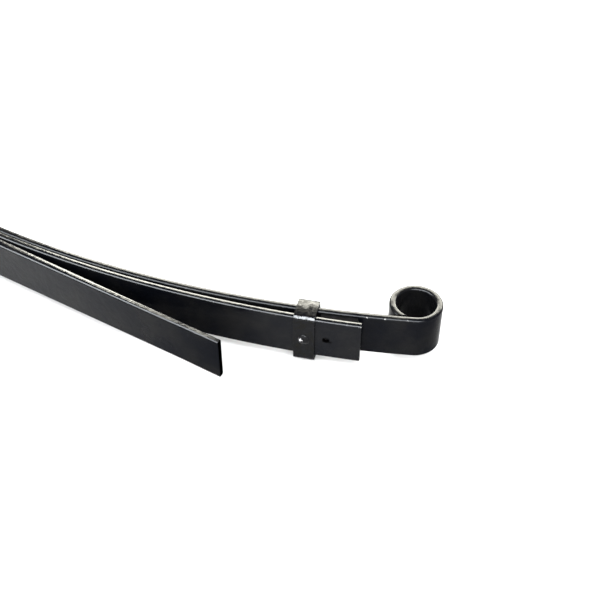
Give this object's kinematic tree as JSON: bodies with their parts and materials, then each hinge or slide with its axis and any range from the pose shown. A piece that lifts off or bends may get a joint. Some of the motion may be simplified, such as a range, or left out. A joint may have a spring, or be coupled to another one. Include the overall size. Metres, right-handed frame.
{
  "type": "leaf spring",
  "caption": "Curved steel leaf spring with rolled eyes, a flatter second leaf held by rebound clips, a straight overload leaf and a centre bolt.",
  "frame": {"origin": "on the centre bolt's axis, on the face of the overload leaf that sits on the axle, half way across the leaves", "axes": "the spring lies on its long edges: +X runs along it to the right-hand eye, +Y is the way the eyes are rolled (up, when the spring is on a vehicle) and +Z runs across the leaves"},
  "size_m": [1.3964, 0.2413, 0.078],
  "materials": {
    "leaf_paint": "glossy black paint, worn thin along the edges",
    "clip_steel": "black paint over plated strip, speckled and thin on the upper leg",
    "rivet_steel": "painted steel rubbed bright on the dome",
    "bolt_steel": "phosphated steel, painted over with the spring",
    "liner_plastic": "black moulded plastic"
  },
  "bodies": {
    "seat": {"main_leaf_centre": "leaf_paint", "second_leaf_centre": "leaf_paint", "overload_leaf": "leaf_paint", "centre_bolt": "bolt_steel", "centre_nut": "bolt_steel"},
    "main_arm_right": {"main_leaf_arm_right": "leaf_paint"},
    "second_arm_right": {"second_leaf_arm_right": "leaf_paint", "rebound_clip_right": "clip_steel", "clip_rivet_right": "rivet_steel", "tip_liner_right": "liner_plastic"},
    "main_arm_left": {"main_leaf_arm_left": "leaf_paint"},
    "second_arm_left": {"second_leaf_arm_left": "leaf_paint", "rebound_clip_left": "clip_steel", "clip_rivet_left": "rivet_steel", "tip_liner_left": "liner_plastic"}
  },
  "joints": [
    {"name": "main_flex_right", "type": "hinge", "parent": "seat", "child": "main_arm_right", "pos_m": [0.14959, 0.03169, 0], "axis": [0, 0, -1], "range_deg": [-1.5, 7], "stiffness_Nm_per_rad": 3100},
    {"name": "second_flex_right", "type": "hinge", "parent": "seat", "child": "second_arm_right", "pos_m": [0.14964, 0.02188, 0], "axis": [0, 0, -1], "range_deg": [-1.5, 7], "stiffness_Nm_per_rad": 3300},
    {"name": "main_flex_left", "type": "hinge", "parent": "seat", "child": "main_arm_left", "pos_m": [-0.14959, 0.03169, 0], "axis": [0, 0, 1], "range_deg": [-1.5, 7], "stiffness_Nm_per_rad": 3100},
    {"name": "second_flex_left", "type": "hinge", "parent": "seat", "child": "second_arm_left", "pos_m": [-0.14964, 0.02188, 0], "axis": [0, 0, 1], "range_deg": [-1.5, 7], "stiffness_Nm_per_rad": 3300}
  ],
  "couplings": [
    {"joint": "second_flex_right", "follows": "main_flex_right", "ratio": 1},
    {"joint": "second_flex_left", "follows": "main_flex_left", "ratio": 1}
  ]
}
